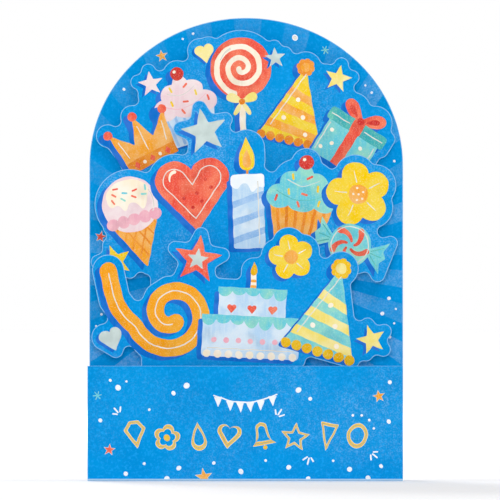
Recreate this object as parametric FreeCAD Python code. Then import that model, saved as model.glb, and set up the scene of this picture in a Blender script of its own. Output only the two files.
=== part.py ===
"""A stand-up pop-up greeting card: an arched back, a floor and a low front panel folded
from one sheet, with three die-cut picture tiers standing between them on folded spacers.

Millimetres. X runs along the card's width, the front faces -Y and +Z is up. The origin is
on the table, in the middle of the footprint.
"""
import FreeCAD, Part
import math
import os

# The carrier: back, floor and front in one folded sheet.
CARD_WIDTH = 145.0
CARD_HEIGHT = 213.6
ARCH_RISE = 68.0              # from where the back's sides begin to curve up to its top
FRONT_HEIGHT = 53.0
BOARD = 0.45
BEND = 0.6                    # radius of a fold, at the middle of the board
SCORE_WIDTH = 0.7
SCORE_DEPTH = 0.15

# The layers stand one behind the other at an even pitch, front panel first.
LAYER_PITCH = 10.0
LAYERS = ("front", "bottom", "middle", "top", "back")

# The die-cut edge keeps this far outside the printed figures.
CUT_MARGIN = 3.4
CUT_ROUND = 2.5               # radius left in the notches between figures

# The lower part of each tier, which the layer in front hides: left, right, bottom, top.
TOP_BODY = (-50.0, 50.0, 117.0, 150.0)
MIDDLE_BODY = (-44.0, 46.0, 66.0, 112.0)
STEM_LEFT = -48.0
STEM_RIGHT = 20.0
STEM_TOP = 82.0
FOOT_LENGTH = 7.0

# The spacers: strips of thinner card with a glue flap at each end and a crease half way.
STRIP = 0.3
STRIP_BEND = 0.45
STRIP_FLAP = 8.0
STRIP_KINK = 1.4              # how far the half-way crease stands out sideways
# For each gap: left strip's place, right strip's place, lower end, upper end.
TOP_STRIPS = (-44.0, 44.0, 121.0, 157.0)
MIDDLE_STRIPS = (-40.0, 40.0, 118.5, 138.0)
BOTTOM_STRIPS = (-38.0, 43.0, 68.0, 88.0)
FRONT_STRIPS = (-42.0, 14.0, 8.0, 46.0)

# The figures printed on each tier: kind, centre x, centre z, height, tilt in degrees.
TOP_FIGURES = (
    ("crown", -47.3, 157.3, 28.0, 27.0),
    ("cupcake", -28.0, 173.0, 36.0, 15.0),
    ("lollipop", -2.0, 181.0, 47.0, 2.0),
    ("hat", 24.0, 175.0, 40.0, -13.0),
    ("gift", 49.0, 159.0, 31.0, -32.0),
    ("star", -44.0, 183.0, 12.0, 10.0),
    ("star", 42.5, 185.5, 13.0, -14.0),
    ("heart", -19.0, 197.0, 9.0, 12.0),
    ("star", 13.5, 195.0, 10.0, 5.0),
)
MIDDLE_FIGURES = (
    ("cone", -51.0, 119.0, 43.0, 16.0),
    ("heart", -24.0, 132.0, 35.0, 6.0),
    ("candle", 1.0, 133.0, 52.0, 2.0),
    ("cupcake", 26.0, 130.0, 40.0, -7.0),
    ("flower", 52.0, 132.0, 30.0, 10.0),
    ("star", -19.0, 161.0, 22.0, 12.0),
    ("sweet", 48.0, 108.5, 23.0, -22.0),
    ("star", -60.0, 101.0, 16.0, 20.0),
)
BOTTOM_FIGURES = (
    ("curl", -38.0, 77.0, 36.0, 0.0),
    ("cake", 3.0, 78.0, 43.0, -3.0),
    ("hat", 39.0, 80.0, 46.0, -16.0),
    ("star", -22.0, 102.0, 23.0, -8.0),
    ("flower", 21.0, 103.0, 21.0, 10.0),
    ("star", 58.0, 65.0, 14.0, 15.0),
    ("heart", -61.5, 65.0, 11.0, 20.0),
)

STAR_POINTS = 5
STAR_WAIST = 0.42             # inner radius of a star as a share of its outer one
PETALS = 5
CURL_TURNS = 1.25             # turns of the paper streamer's spiral
CURL_STEPS = 14
CURL_CORE = 0.12              # the spiral's inner radius, as a share of its height
CURL_BAND = 0.11              # half the streamer's width, as a share of its height
EXACT = 1e-7

stage_depth = (len(LAYERS) - 1) * LAYER_PITCH + BOARD
front_face = {name: i * LAYER_PITCH - stage_depth / 2 for i, name in enumerate(LAYERS)}


def point(x, z, y=0.0):
    return FreeCAD.Vector(x, y, z)


def line(a, b):
    return Part.LineSegment(a, b).toShape()


def arc(a, middle, b):
    return Part.Arc(a, middle, b).toShape()


def arch(half_width, rise, z):
    """The upper half of an ellipse whose centre is at height z."""
    centre, right, top = point(0, z), point(half_width, z), point(0, z + rise)
    if rise > half_width:
        return Part.ArcOfEllipse(Part.Ellipse(top, right, centre), -math.pi / 2, math.pi / 2).toShape()
    return Part.ArcOfEllipse(Part.Ellipse(right, top, centre), 0, math.pi).toShape()


# Outlines that the figures are cut to.

def convex_face(points, radius):
    """Everything within radius of the convex outline through points, given anticlockwise."""
    centres = [point(x, z) for x, z in points]
    if len(centres) == 1:
        return Part.Face(Part.Wire(Part.makeCircle(radius, centres[0], point(0, 0, -1.0))))
    sides = []
    for a, b in zip(centres, centres[1:] + centres[:1]):
        along = (b - a).normalize()
        sides.append((a, b, along, point(along.z, -along.x) * radius))
    edges = []
    for (a, b, along, out), following in zip(sides, sides[1:] + sides[:1]):
        edges.append(line(a + out, b + out))
        bisector = out + following[3]
        if bisector.Length < EXACT:
            bisector = along
        turned = (following[3] - out).Length
        if turned > EXACT:
            edges.append(arc(b + out, b + bisector.normalize() * radius, b + following[3]))
    return Part.Face(Part.Wire(edges))


def ring(count, radius, start=90.0):
    """count points evenly spaced round a circle."""
    angles = [math.radians(start + 360.0 * i / count) for i in range(count)]
    return [(radius * math.cos(a), radius * math.sin(a)) for a in angles]


def box(left, right, bottom, top):
    return [(left, bottom), (right, bottom), (right, top), (left, top)]


def star_pieces():
    tips = ring(STAR_POINTS, 0.5)
    waist = ring(STAR_POINTS, 0.5 * STAR_WAIST, 90.0 + 180.0 / STAR_POINTS)
    arms = [([waist[i - 1], tips[i], waist[i]], 0.0) for i in range(STAR_POINTS)]
    return arms + [(waist, 0.0)]


def flower_pieces():
    return [([p], 0.21) for p in ring(PETALS, 0.29)] + [([(0, 0)], 0.25)]


def gift_pieces():
    return [(box(-0.42, 0.42, -0.5, 0.08), 0.0), (box(-0.48, 0.48, 0.04, 0.24), 0.0),
            ([(-0.19, 0.34)], 0.15), ([(0.19, 0.34)], 0.15)]


def hat_pieces():
    return [([(-0.36, -0.46), (0.36, -0.46), (0.0, 0.4)], 0.0), ([(0.0, 0.4)], 0.1)]


def cupcake_pieces():
    case = [(-0.26, -0.5), (0.26, -0.5), (0.37, -0.08), (-0.37, -0.08)]
    return [(case, 0.0), ([(-0.23, 0.02), (0.23, 0.02)], 0.19),
            ([(-0.1, 0.18), (0.1, 0.18)], 0.18), ([(0.0, 0.41)], 0.09)]


def lollipop_pieces():
    return [([(0.0, 0.2)], 0.3), ([(0.0, -0.1), (0.0, -0.47)], 0.03)]


def crown_pieces():
    band = box(-0.42, 0.42, -0.42, 0.0)
    spikes = [([(-0.42, -0.1), (-0.1, -0.1), (-0.5, 0.32)], 0.0),
              ([(-0.22, -0.1), (0.22, -0.1), (0.0, 0.42)], 0.0),
              ([(0.1, -0.1), (0.42, -0.1), (0.5, 0.32)], 0.0)]
    balls = [([(x, z)], 0.07) for x, z in ((-0.5, 0.32), (0.0, 0.42), (0.5, 0.32))]
    return [(band, 0.0)] + spikes + balls


def heart_pieces():
    return [([(-0.23, 0.2)], 0.26), ([(0.23, 0.2)], 0.26),
            ([(-0.42, 0.03), (0.0, -0.48), (0.42, 0.03), (0.0, 0.3)], 0.0)]


def candle_pieces():
    return [(box(-0.14, 0.14, -0.5, 0.14), 0.0), ([(0.0, 0.29), (0.0, 0.39)], 0.1)]


def cone_pieces():
    return [([(-0.27, 0.02), (0.0, -0.5), (0.27, 0.02)], 0.0), ([(0.0, 0.2)], 0.3)]


def cake_pieces():
    return [(box(-0.52, 0.52, -0.5, -0.06), 0.0), (box(-0.36, 0.36, -0.1, 0.26), 0.0),
            ([(0.0, 0.26), (0.0, 0.44)], 0.06)]


def sweet_pieces():
    fan = [(0.3, 0.0), (0.74, -0.34), (0.74, 0.34)]
    return [([(-0.06, 0.0), (0.06, 0.0)], 0.42), (fan, 0.0), ([(-u, -v) for u, v in fan], 0.0)]


def curl_path():
    """A spiral that opens into a rising tail, for a curled paper streamer."""
    path = []
    for i in range(CURL_STEPS + 1):
        share = i / CURL_STEPS
        angle = math.radians(200.0 + 360.0 * CURL_TURNS * (1.0 - share))
        radius = CURL_CORE + (0.5 - CURL_CORE) * share
        path.append((radius * math.cos(angle) + 0.12, radius * math.sin(angle)))
    return path + [(-0.62, 0.18), (-0.7, 0.55)]


def curl_pieces():
    path = curl_path()
    return [([a, b], CURL_BAND) for a, b in zip(path, path[1:])]


PIECES = {"star": star_pieces, "flower": flower_pieces, "gift": gift_pieces,
          "hat": hat_pieces, "cupcake": cupcake_pieces, "lollipop": lollipop_pieces,
          "crown": crown_pieces, "heart": heart_pieces, "candle": candle_pieces,
          "cone": cone_pieces, "cake": cake_pieces, "sweet": sweet_pieces, "curl": curl_pieces}


def figure_faces(kind, x, z, height, tilt, grow):
    """The faces that cover one figure, grown by that much all round."""
    c, s = math.cos(math.radians(tilt)), math.sin(math.radians(tilt))
    faces = []
    for points, radius in PIECES[kind]():
        turned = [(x + height * (u * c - v * s), z + height * (u * s + v * c)) for u, v in points]
        faces.append(convex_face(turned, height * radius + grow))
    return faces


def cut_outline(figures, body):
    """The die-cut face round the figures and the hidden body, with its notches rounded."""
    grow = CUT_MARGIN + CUT_ROUND
    faces = [convex_face(box(*body), CUT_ROUND)]
    for figure in figures:
        faces += figure_faces(*figure, grow)
    whole = faces[0].fuse(faces[1:]).removeSplitter()
    outer = max(whole.Faces, key=lambda f: f.Area).OuterWire
    return Part.Face(outer).makeOffset2D(-CUT_ROUND)


def sheet(face, layer):
    """A flat layer of board with its printed side at the layer's front face."""
    moved = face.copy()
    moved.translate(point(0, 0, front_face[layer]))
    return moved.extrude(point(0, 0, BOARD))


# Sheets that are folded from flat.

def folded_section(path, thickness, bend, place):
    """The cross-section of a sheet that follows path with round folds. place(u, v) gives the
    point in space of a point of the section."""
    vectors = [FreeCAD.Vector(u, v, 0) for u, v in path]
    heads = [(b - a).normalize() for a, b in zip(vectors, vectors[1:])]
    normals = [FreeCAD.Vector(-h.y, h.x, 0) for h in heads]

    def side(offset):
        edges = []
        start = vectors[0] + normals[0] * offset
        for i in range(1, len(vectors) - 1):
            sense = math.copysign(1.0, heads[i - 1].cross(heads[i]).z)
            half_turn = heads[i - 1].getAngle(heads[i]) / 2
            setback = bend * math.tan(half_turn)
            centre = vectors[i] - heads[i - 1] * setback + normals[i - 1] * (sense * bend)
            reach = -sense * (bend - sense * offset)
            enter = centre + normals[i - 1] * reach
            leave = centre + normals[i] * reach
            middle = centre + (normals[i - 1] + normals[i]).normalize() * reach
            edges.append((start, enter))
            edges.append((enter, middle, leave))
            start = leave
        edges.append((start, vectors[-1] + normals[-1] * offset))
        return edges

    left, right = side(thickness / 2), side(-thickness / 2)
    loop = left + [(left[-1][-1], right[-1][-1])]
    loop += [tuple(reversed(e)) for e in reversed(right)] + [(right[0][0], left[0][0])]
    shapes = [[place(p.x, p.y) for p in e] for e in loop]
    return Part.Face(Part.Wire([arc(*e) if len(e) == 3 else line(*e) for e in shapes]))


def make_carrier():
    middle = BOARD / 2
    front, back = front_face["front"] + middle, front_face["back"] + middle
    path = [(front, FRONT_HEIGHT), (front, middle), (back, middle), (back, CARD_HEIGHT)]
    left = -CARD_WIDTH / 2
    section = folded_section(path, BOARD, BEND, lambda u, v: point(left, v, u))
    folded = section.extrude(FreeCAD.Vector(CARD_WIDTH, 0, 0))
    half = CARD_WIDTH / 2
    spring = CARD_HEIGHT - ARCH_RISE
    outline = Part.Face(Part.Wire([
        line(point(-half, 0), point(half, 0)),
        line(point(half, 0), point(half, spring)),
        arch(half, ARCH_RISE, spring),
        line(point(-half, spring), point(-half, 0))]))
    outline.translate(point(0, 0, -stage_depth / 2))
    carrier = folded.common(outline.extrude(point(0, 0, stage_depth)))
    score = Part.Face(Part.makePolygon([
        point(left, BOARD, -SCORE_WIDTH / 2), point(left, BOARD, SCORE_WIDTH / 2),
        point(left, BOARD - SCORE_DEPTH, 0), point(left, BOARD, -SCORE_WIDTH / 2)]))
    return carrier.cut(score.extrude(FreeCAD.Vector(CARD_WIDTH, 0, 0)))


def make_bottom_tier():
    """The lowest tier is also a stand: its stem reaches the floor and ends in a glued foot."""
    middle = front_face["bottom"] + BOARD / 2
    floor = BOARD + BOARD / 2
    stem_foot = floor + BEND
    outline = cut_outline(BOTTOM_FIGURES, (STEM_LEFT, STEM_RIGHT, stem_foot, STEM_TOP))
    flat = sheet(outline, "bottom")
    path = [(middle, stem_foot + BEND), (middle, floor), (middle + FOOT_LENGTH, floor)]
    section = folded_section(path, BOARD, BEND, lambda u, v: point(STEM_LEFT, v, u))
    foot = section.extrude(FreeCAD.Vector(STEM_RIGHT - STEM_LEFT, 0, 0))
    return flat.fuse(foot).removeSplitter()


def make_strip(x, low, high, behind, before):
    """One spacer between two layers. Its glue flaps point to the middle of the card."""
    inward = -math.copysign(1.0, x)
    rear = front_face[behind] - STRIP / 2
    fore = front_face[before] + BOARD + STRIP / 2
    path = [(x + inward * STRIP_FLAP, rear), (x, rear),
            (x - inward * STRIP_KINK, (rear + fore) / 2),
            (x, fore), (x + inward * STRIP_FLAP, fore)]
    section = folded_section(path, STRIP, STRIP_BEND, lambda u, v: point(u, low, v))
    return section.extrude(point(0, high - low))


def make_nodes():
    nodes = {
        "carrier": make_carrier(),
        "tier_top": sheet(cut_outline(TOP_FIGURES, TOP_BODY), "top"),
        "tier_middle": sheet(cut_outline(MIDDLE_FIGURES, MIDDLE_BODY), "middle"),
        "tier_bottom": make_bottom_tier(),
    }
    gaps = (("top", "back", "top", TOP_STRIPS), ("middle", "top", "middle", MIDDLE_STRIPS),
            ("bottom", "middle", "bottom", BOTTOM_STRIPS), ("front", "bottom", "front", FRONT_STRIPS))
    for gap, behind, before, (left, right, low, high) in gaps:
        nodes[f"spacer_{gap}_left"] = make_strip(left, low, high, behind, before)
        nodes[f"spacer_{gap}_right"] = make_strip(right, low, high, behind, before)
    return nodes


os.makedirs("parts", exist_ok=True)
for name, shape in make_nodes().items():
    shape.exportStep(f"parts/{name}.step")
    size = shape.BoundBox
    print(name, shape.isValid(), len(shape.Solids), round(shape.Volume, 2),
          [round(v, 2) for v in (size.XMin, size.XMax, size.YMin, size.YMax, size.ZMin, size.ZMax)])
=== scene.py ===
"""Looks of a stand-up pop-up party card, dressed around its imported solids.

Everything printed is a thin field of ink on the board. Outlines are drawn in millimetres on the
card's own X and Z. Later shapes cover earlier ones, and all of a face's ink lies at one level.
"""
import functools
import math
import random

import bpy
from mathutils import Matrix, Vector
from mathutils.geometry import delaunay_2d_cdt


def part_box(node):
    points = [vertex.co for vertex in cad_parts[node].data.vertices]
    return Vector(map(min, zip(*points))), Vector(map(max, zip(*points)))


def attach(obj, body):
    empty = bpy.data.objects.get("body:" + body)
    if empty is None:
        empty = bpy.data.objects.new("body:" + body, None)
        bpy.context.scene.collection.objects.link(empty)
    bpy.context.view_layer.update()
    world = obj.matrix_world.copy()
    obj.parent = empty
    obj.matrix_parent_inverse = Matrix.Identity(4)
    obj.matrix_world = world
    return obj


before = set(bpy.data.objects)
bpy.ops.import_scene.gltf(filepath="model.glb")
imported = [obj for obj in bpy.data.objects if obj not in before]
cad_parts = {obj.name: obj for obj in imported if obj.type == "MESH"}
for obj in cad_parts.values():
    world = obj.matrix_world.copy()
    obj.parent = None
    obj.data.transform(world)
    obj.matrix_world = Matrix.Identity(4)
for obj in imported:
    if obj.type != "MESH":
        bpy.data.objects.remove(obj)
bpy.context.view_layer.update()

MM = 0.001                    # in metres, and the lengths that follow are in millimetres
INK_RISE = 0.01               # how far ink stands above its board
INK_SINK = 0.005              # how far it reaches into the board
WELD = 0.0001                 # printed points this close are one point
SHADE_SHIFT = (-2.3, -1.7)    # the printed drop shadow, left and down
INLINE = 0.45                 # width of the fine pale lines inside the figures
STEP = 0.7                    # longest straight piece of a printed edge, so that it can waver
WAVER = 0.1                   # how far a hand-drawn edge wavers
CUT_EDGE = 0.3                # width of the pale rim along a die-cut edge: pale cut board with a painted highlight
BEND_TOP = 1.05               # where the front panel's flat face begins, above the floor fold
PANEL_TOP = 53.0              # the front panel's top edge
ARCH_RISE = 68.0              # how far the back panel's arch rises above its straight sides
BOARD = 0.45                  # thickness of the carrier's board
PLAIN_HEIGHT = 16.5           # a heart or star lower than this has nothing drawn inside
FACING = 0.3                  # a normal with more than this along an axis faces that way

# Figures on each tier: kind, centre x, centre z, height, tilt, main ink and second ink.
TOP_FIGURES = (
    ("cupcake", -28.0, 173.0, 36.0, 15.0, "sky", "pink"),
    ("crown", -47.3, 157.3, 28.0, 27.0, "orange", "red"),
    ("lollipop", -2.0, 181.0, 47.0, 2.0, "red", "cream"),
    ("hat", 24.0, 175.0, 40.0, -13.0, "yellow", "orange"),
    ("gift", 49.0, 159.0, 31.0, -32.0, "teal", "red"),
    ("star", -44.0, 183.0, 12.0, 10.0, "pink", "white"),
    ("star", 42.5, 185.5, 13.0, -14.0, "lemon", "white"),
    ("heart", -19.0, 197.0, 9.0, 12.0, "lemon", "white"),
    ("star", 13.5, 195.0, 10.0, 5.0, "mint_foil", "white"),
)
MIDDLE_FIGURES = (
    ("cone", -51.0, 119.0, 43.0, 16.0, "pink", "orange"),
    ("heart", -24.0, 132.0, 35.0, 6.0, "red", "cream"),
    ("candle", 1.0, 133.0, 52.0, 2.0, "sky", "yellow"),
    ("cupcake", 26.0, 130.0, 40.0, -7.0, "orange", "teal"),
    ("flower", 52.0, 132.0, 30.0, 10.0, "yellow", "cream"),
    ("star", -19.0, 161.0, 22.0, 12.0, "mint_foil", "white"),
    ("sweet", 48.0, 108.5, 23.0, -22.0, "teal", "red"),
    ("star", -60.0, 101.0, 16.0, 20.0, "yellow", "white"),
)
BOTTOM_FIGURES = (
    ("curl", -38.0, 77.0, 36.0, 0.0, "yolk", "cream"),
    ("cake", 3.0, 78.0, 43.0, -3.0, "sky", "teal"),
    ("hat", 39.0, 80.0, 46.0, -16.0, "teal", "lemon"),
    ("star", -22.0, 102.0, 23.0, -8.0, "red", "mint_foil"),
    ("flower", 21.0, 103.0, 21.0, 10.0, "yellow", "orange"),
    ("star", 58.0, 65.0, 14.0, 15.0, "lemon", "white"),
    ("heart", -61.5, 65.0, 11.0, 20.0, "mint_foil", "white"),
)

# Inks: main colour and the colour that it wanders to, as sRGB from 0 to 255.
INKS = {
    "teal": ((102, 202, 218), (150, 218, 200)),
    "sky": ((182, 214, 240), (216, 232, 244)),
    "orange": ((244, 163, 44), (242, 184, 108)),
    "red": ((236, 84, 66), (244, 128, 96)),
    "pink": ((237, 209, 214), (242, 226, 226)),
    "yellow": ((246, 204, 2), (242, 213, 76)),
    "lemon": ((243, 222, 110), (246, 232, 160)),
    "cream": ((250, 234, 206), (252, 244, 228)),
    "white": ((248, 250, 252), (236, 244, 250)),
    "gold": ((242, 200, 72), (236, 188, 56)),
    "shade": ((16, 110, 200), (54, 120, 212)),
    "pewter": ((138, 154, 172), (160, 172, 184)),
    "deep_red": ((206, 52, 48), (226, 84, 66)),
    "deep_teal": ((62, 172, 178), (104, 196, 178)),
    "deep_orange": ((230, 130, 30), (240, 156, 60)),
    "deep_sky": ((140, 184, 230), (170, 204, 238)),
    "deep_pink": ((236, 168, 186), (242, 190, 198)),
    "deep_yellow": ((232, 176, 6), (240, 196, 40)),
    "yolk": ((243, 158, 14), (241, 174, 58)),
}
# The darker ink that goes with a main one.
DEEP = {"teal": "deep_teal", "sky": "deep_sky", "orange": "deep_orange", "red": "deep_red",
        "pink": "deep_pink", "lemon": "deep_yellow"}
FOILS = {"silver_foil": (200, 197, 188), "mint_foil": (173, 186, 183)}

BLUE = (0, 149, 221)
BLUE_DEEP = (0, 142, 214)
BLUE_BRIGHT = (30, 167, 240)
BLUE_SPONGED = (104, 174, 232)
# painted highlight where the front panel's rounded bottom fold catches the light
BLUE_FOLD_HIGHLIGHT = (186, 216, 236)
# pale cut board along die-cut edges, brightened by a painted highlight
RIM_AND_HIGHLIGHT = (166, 212, 244)
CHALK = (255, 250, 240)
BOARD_WHITE = (243, 243, 240)
BOARD_CLOUD = (240, 240, 237)
BOARD_FIBRE = (226, 225, 219)
FLOOR = (236, 236, 238)
WHITE_LIGHT = (1.0, 1.0, 1.0, 1.0)


# Outlines. A loop is a list of points, and a shape is one loop or a list of a loop and its holes.

def around(x, z, radius, angle):
    """The point at that radius and angle, in degrees, from x and z."""
    turn = math.radians(angle)
    return (x + radius * math.cos(turn), z + radius * math.sin(turn))


def arc(x, z, radius, start, end, steps=16, tall=1.0):
    """Points on an arc from one angle to another, in degrees. tall stretches it along Z."""
    turn = [math.radians(start + (end - start) * i / steps) for i in range(steps + 1)]
    return [(x + radius * math.cos(a), z + radius * tall * math.sin(a)) for a in turn]


def disc(x, z, radius, tall=1.0, steps=28):
    return arc(x, z, radius, 0, 360, steps, tall)[:-1]


def rect(left, right, bottom, top):
    return [(left, bottom), (right, bottom), (right, top), (left, top)]


def lerp(a, b, share):
    """The point that lies that share of the way from a to b."""
    return (a[0] + (b[0] - a[0]) * share, a[1] + (b[1] - a[1]) * share)


def rounded(points, radius, steps=5):
    """The loop through points with each corner eased over that length of its sides."""
    most = 0.45               # of a side, so that two eased corners never meet
    loop = []
    for i, corner in enumerate(points):
        before, after = points[i - 1], points[(i + 1) % len(points)]
        start = lerp(corner, before, min(most, radius / math.dist(corner, before)))
        end = lerp(corner, after, min(most, radius / math.dist(corner, after)))
        for j in range(steps + 1):
            t = j / steps
            loop.append(lerp(lerp(start, corner, t), lerp(corner, end, t), t))
    return loop


def smooth(points, steps=6):
    """An open path eased through its points."""
    path = []
    last = len(points) - 1
    for i in range(last):
        p0, p1, p2, p3 = (points[max(0, min(last, i + k))] for k in (-1, 0, 1, 2))
        for j in range(steps):
            t = j / steps
            w = (-t + 2 * t * t - t ** 3, 2 - 5 * t * t + 3 * t ** 3,
                 t + 4 * t * t - 3 * t ** 3, t ** 3 - t * t)
            path.append(tuple(sum(k * p[axis] for k, p in zip(w, (p0, p1, p2, p3))) / 2
                              for axis in (0, 1)))
    return path + [points[-1]]


def band(path, width, taper=1.0):
    """A brush stroke with round ends along a path. Its end is taper times as wide as its start."""
    left, right = [], []
    last = len(path) - 1
    for i, (x, z) in enumerate(path):
        ahead, behind = path[min(last, i + 1)], path[max(0, i - 1)]
        length = math.dist(ahead, behind)
        half = width / 2 * (1 + (taper - 1) * i / last)
        nx, nz = (behind[1] - ahead[1]) / length * half, (ahead[0] - behind[0]) / length * half
        left.append((x + nx, z + nz))
        right.append((x - nx, z - nz))

    def cap(a, b):
        centre = lerp(a, b, 0.5)
        start = math.degrees(math.atan2(a[1] - centre[1], a[0] - centre[0]))
        return arc(*centre, math.dist(a, centre), start, start + 180, 6)[1:-1]

    return right + cap(right[-1], left[-1]) + left[::-1] + cap(left[0], right[0])


def area(loop):
    return sum(a[0] * b[1] - b[0] * a[1] for a, b in zip(loop, loop[1:] + loop[:1])) / 2


def inset(loop, distance):
    """The loop moved inwards by that distance, for gentle corners and thin rims."""
    tightest = 0.5            # keeps a sharp corner from reaching too far
    side = math.copysign(distance, area(loop))
    moved = []
    for i, (x, z) in enumerate(loop):
        before, after = loop[i - 1], loop[(i + 1) % len(loop)]
        d1 = Vector((x - before[0], z - before[1])).normalized()
        d2 = Vector((after[0] - x, after[1] - z)).normalized()
        normal = Vector((-d1.y - d2.y, d1.x + d2.x)).normalized()
        reach = side / max(tightest, normal.dot(Vector((-d1.y, d1.x))))
        moved.append((x + normal.x * reach, z + normal.y * reach))
    return moved


def rim(loop, gap, width):
    """A line of that width which follows the loop's inside at that gap."""
    return [inset(loop, gap), inset(loop, gap + width)]


def star_loop(x, z, height, tilt=0.0, waist=0.42, points=5):
    """A star whose inner corners lie at that share of its radius."""
    loop = []
    for i in range(2 * points):
        radius = height / 2 * (waist if i % 2 else 1.0)
        loop.append(around(x, z, radius, 90.0 + tilt + 180.0 * i / points))
    return loop


def heart_loop(x=0.0, z=0.0, size=1.0):
    """Two round lobes over a point."""
    out, up, radius = 0.23, 0.2, 0.26     # the lobes' centres and their radius
    cleft, flank = 27.8, -39.9            # degrees where the lobes meet and the straight sides begin
    tip = (0.0, -0.49)
    loop = arc(out, up, radius, flank, 180 - cleft) + arc(-out, up, radius, cleft, 180 - flank)[1:]
    return [(x + size * u, z + size * v) for u, v in loop + [tip]]


def petal_loop(size=1.0):
    """A flower's outline: equal round petals about a middle."""
    petals = 5
    out, radius = 0.29, 0.21              # the petals' centres and their radius
    pitch = 360.0 / petals
    steps = 12 * petals
    loop = []
    for i in range(steps):
        turn = 360.0 * i / steps
        off = math.radians((turn + pitch / 2) % pitch - pitch / 2)
        reach = out * math.cos(off) + math.sqrt(radius ** 2 - (out * math.sin(off)) ** 2)
        loop.append(around(0.0, 0.0, size * reach, 90.0 + turn))
    return loop


def leaf(start, end, width):
    """A leaf or bow loop between two points, fuller towards its end."""
    dx, dz = end[0] - start[0], end[1] - start[1]
    steps = 24
    loop = []
    for i in range(steps):
        turn = 2 * math.pi * i / steps
        along = 0.5 - 0.5 * math.cos(turn)
        across = width / 2 * math.sin(turn) * (0.55 + 0.75 * along)
        loop.append((start[0] + dx * along + dz * across / math.hypot(dx, dz),
                     start[1] + dz * along - dx * across / math.hypot(dx, dz)))
    return loop


def drop(x, z, wide, tall):
    """A flame or drip: round below and pointed above."""
    steps = 28
    sharpness = 1.4
    loop = []
    for i in range(steps):
        turn = 2 * math.pi * i / steps
        loop.append((x - wide * math.sin(turn) * abs(math.sin(turn / 2)) ** sharpness,
                     z + tall * math.cos(turn)))
    return loop


def spiral(x, z, first, last, turns, start, steps=60):
    """A path that winds about x and z from the first radius to the last."""
    return [around(x, z, first + (last - first) * i / steps, start + 360.0 * turns * i / steps)
            for i in range(steps + 1)]


def sprinkle(rng, x, z, half_length, width):
    """A short stroke in a random direction."""
    lean = rng.uniform(0, math.pi)
    dx, dz = half_length * math.cos(lean), half_length * math.sin(lean)
    return band([(x - dx, z - dz), (x + dx, z + dz)], width)


# Figures. Each gives its silhouette, and its inks from the lowest layer up, in units of its own
# height. a and b are its main and its second ink, and mm is one millimetre in those units.

def gift(a, b, mm):
    body = rounded(rect(-0.42, 0.42, -0.5, 0.08), 0.04)
    lid = rounded(rect(-0.48, 0.48, 0.04, 0.24), 0.05)
    bows = [leaf((-0.02 * side, 0.22), (0.33 * side, 0.44), 0.2) for side in (-1, 1)]
    eyes = [leaf((0.08 * side, 0.27), (0.25 * side, 0.385), 0.08) for side in (-1, 1)]
    dots = [disc(x, z, 0.03) for x, z in ((-0.3, -0.08), (-0.2, -0.25), (-0.32, -0.38),
                                          (0.2, -0.1), (0.31, -0.24), (0.19, -0.4))]
    inlines = [band(path, INLINE * mm) for path in (
        [(-0.38, -0.45), (-0.38, 0.0)], [(0.38, -0.45), (0.38, 0.0)],
        [(-0.43, 0.14), (-0.13, 0.14)], [(0.13, 0.14), (0.43, 0.14)])]
    ribbon = rect(-0.075, 0.075, -0.5, 0.06)
    lid_ribbon = rounded(rect(-0.09, 0.09, 0.04, 0.24), 0.02)
    layers = [(b, bows), (DEEP[b], eyes), (a, [body]), (b, [ribbon]), ("cream", dots),
              (DEEP[a], [lid]), (b, [lid_ribbon]), ("silver_foil", inlines),
              (DEEP[b], [disc(0.0, 0.25, 0.055)])]
    return [body, lid] + bows, layers


def hat(a, b, mm):
    left, right, tip = (-0.37, -0.47), (0.37, -0.47), (0.0, 0.41)
    crest = (0.0, 0.4)
    body = rounded([left, right, tip], 0.04)
    stripe, slant = 0.11, 0.1
    stripes = []
    for low in (0.14, 0.38, 0.6):
        high = low + stripe
        stripes.append([lerp(left, tip, low), lerp(right, tip, low - slant),
                        lerp(right, tip, high - slant), lerp(left, tip, high)])
    tufts = [leaf(crest, around(*crest, 0.105, turn), 0.075) for turn in range(0, 360, 45)]
    trim = [disc(-0.33 + 0.11 * i, -0.46, 0.052, steps=16) for i in range(7)]
    spots = [disc(x, z, 0.026) for x, z in ((-0.12, -0.22), (0.1, -0.17), (0.0, 0.02), (0.17, -0.36))]
    edge = band([lerp(left, tip, 0.16), lerp(left, tip, 0.9)], INLINE * mm)
    inline = [(x + 0.06, z) for x, z in edge]
    layers = [(a, [body]), (b, stripes), ("cream", spots), (DEEP[b], trim), (DEEP[b], tufts),
              (b, [disc(*crest, 0.055)]), ("silver_foil", [inline])]
    return [body, disc(*crest, 0.1)], layers


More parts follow.
